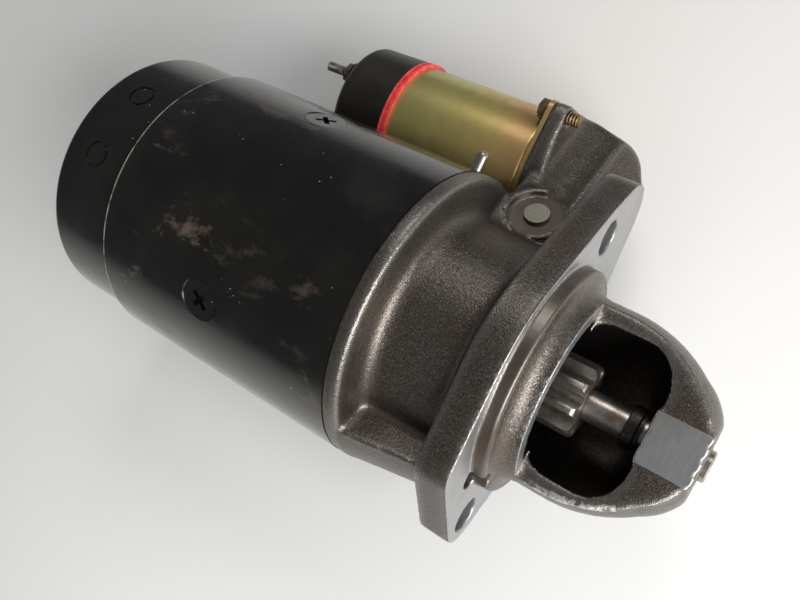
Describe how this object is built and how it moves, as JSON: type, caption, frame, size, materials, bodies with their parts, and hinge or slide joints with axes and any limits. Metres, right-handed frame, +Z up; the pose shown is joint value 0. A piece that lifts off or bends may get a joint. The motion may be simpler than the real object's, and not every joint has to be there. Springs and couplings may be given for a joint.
{
  "type": "starter motor",
  "caption": "Direct-drive starter motor with a piggyback solenoid, shift lever, overrunning clutch pinion and a domed cast nose with a ring-gear window.",
  "frame": {"origin": "centre of the pilot, on the machined mounting face", "axes": "+X along the shaft towards the nose, +Z up with the motor lying on its side on a bench"},
  "size_m": [0.2576, 0.173, 0.1142],
  "materials": {
    "black_paint": "gloss black paint with scuffs",
    "black_plastic": "satin moulded",
    "brass_screw": "yellow plated screw",
    "bright_steel": "machined and ground",
    "bronze": "sintered bronze bush",
    "carbon": "copper graphite",
    "cast_iron_paint": "rough cast, thin dark bronze-grey paint",
    "copper": "enamelled copper winding",
    "dark_steel": "black oxide",
    "insulation": "phenolic insulation",
    "lamination": "stacked laminations",
    "red_rubber": "soft seal",
    "spring_steel": "spring wire",
    "yellow_zinc": "yellow chromate zinc plate"
  },
  "bodies": {
    "root": {"battery_stud": "copper", "brush_holders": "bright_steel", "brush_plate": "insulation", "brush_spring_1": "spring_steel", "brush_spring_2": "spring_steel", "brush_spring_3": "spring_steel", "brush_spring_4": "spring_steel", "contact_spring": "spring_steel", "drive_housing": "cast_iron_paint", "end_bush": "bronze", "end_cap": "black_paint", "field_coils": "copper", "field_frame": "black_paint", "field_lead": "copper", "lead_grommet": "black_plastic", "locating_pin": "bright_steel", "motor_stud": "copper", "nose_bush": "bronze", "pivot_clip": "spring_steel", "pivot_pin": "bright_steel", "plunger_spring": "spring_steel", "pole_screws": "black_paint", "pole_shoe_1": "lamination", "pole_shoe_2": "lamination", "pole_shoe_3": "lamination", "pole_shoe_4": "lamination", "seal_ring": "red_rubber", "solenoid_bobbin": "insulation", "solenoid_cap": "black_plastic", "solenoid_case": "yellow_zinc", "solenoid_coils": "copper", "solenoid_core": "dark_steel", "solenoid_flange": "yellow_zinc", "solenoid_screws": "brass_screw", "switch_stud": "bright_steel", "terminal_nuts": "bright_steel", "through_bolts": "black_paint"},
    "armature": {"armature_shaft": "bright_steel", "armature_core": "lamination", "armature_windings": "copper", "commutator": "copper", "commutator_hub": "insulation", "stop_collar": "bright_steel", "stop_ring": "spring_steel"},
    "drive": {"drive_sleeve": "dark_steel", "sleeve_ring": "spring_steel", "clutch_shell": "dark_steel", "clutch_rollers": "bright_steel"},
    "pinion": {"pinion_gear": "bright_steel", "pinion_bush": "bronze"},
    "shift_collar": {"shift_collar": "dark_steel", "mesh_spring": "spring_steel"},
    "shift_lever": {"shift_lever": "dark_steel"},
    "plunger": {"plunger": "dark_steel"},
    "contact": {"push_rod": "bright_steel", "contact_disc": "copper"},
    "brush_1": {"brush_1": "carbon"},
    "brush_2": {"brush_2": "carbon"},
    "brush_3": {"brush_3": "carbon"},
    "brush_4": {"brush_4": "carbon"}
  },
  "joints": [
    {"name": "armature_spin", "type": "hinge", "parent": "root", "child": "armature", "pos_m": [0, 0, 0], "axis": [1, 0, 0], "continuous": true},
    {"name": "drive_slide", "type": "slide", "parent": "armature", "child": "drive", "axis": [1, 0, 0], "range_m": [0, 0.014]},
    {"name": "pinion_overrun", "type": "hinge", "parent": "drive", "child": "pinion", "pos_m": [0.01, 0, 0], "axis": [1, 0, 0], "continuous": true},
    {"name": "collar_slide", "type": "slide", "parent": "root", "child": "shift_collar", "axis": [1, 0, 0], "range_m": [0, 0.014]},
    {"name": "lever_pivot", "type": "hinge", "parent": "root", "child": "shift_lever", "pos_m": [-0.0289, 0.04581, -0.01653], "axis": [0, 0.3394, 0.9407], "range_deg": [0, 23.47]},
    {"name": "plunger_slide", "type": "slide", "parent": "root", "child": "plunger", "axis": [-1, 0, 0], "range_m": [0, 0.01533], "stiffness_N_per_m": 500, "springref_m": -0.012, "deforming": ["plunger_spring"]},
    {"name": "contact_slide", "type": "slide", "parent": "root", "child": "contact", "axis": [-1, 0, 0], "range_m": [0, 0.003], "deforming": ["contact_spring"]},
    {"name": "brush_1_slide", "type": "slide", "parent": "root", "child": "brush_1", "axis": [0, -0.3206, 0.9472], "range_m": [0, 0.004], "stiffness_N_per_m": 400, "springref_m": -0.012, "deforming": ["brush_spring_1"]},
    {"name": "brush_2_slide", "type": "slide", "parent": "root", "child": "brush_2", "axis": [0, -0.9472, -0.3206], "range_m": [0, 0.004], "stiffness_N_per_m": 400, "springref_m": -0.012, "deforming": ["brush_spring_2"]},
    {"name": "brush_3_slide", "type": "slide", "parent": "root", "child": "brush_3", "axis": [0, 0.3206, -0.9472], "range_m": [0, 0.004], "stiffness_N_per_m": 400, "springref_m": -0.012, "deforming": ["brush_spring_3"]},
    {"name": "brush_4_slide", "type": "slide", "parent": "root", "child": "brush_4", "axis": [0, 0.9472, 0.3206], "range_m": [0, 0.004], "stiffness_N_per_m": 400, "springref_m": -0.012, "deforming": ["brush_spring_4"]}
  ],
  "couplings": [
    {"joint": "collar_slide", "follows": "drive_slide", "ratio": 1},
    {"joint": "lever_pivot", "follows": "drive_slide", "rad_per_m": 29.258},
    {"joint": "plunger_slide", "follows": "drive_slide", "ratio": 1.095},
    {"joint": "contact_slide", "follows": "drive_slide", "ratio": 0.21429}
  ]
}
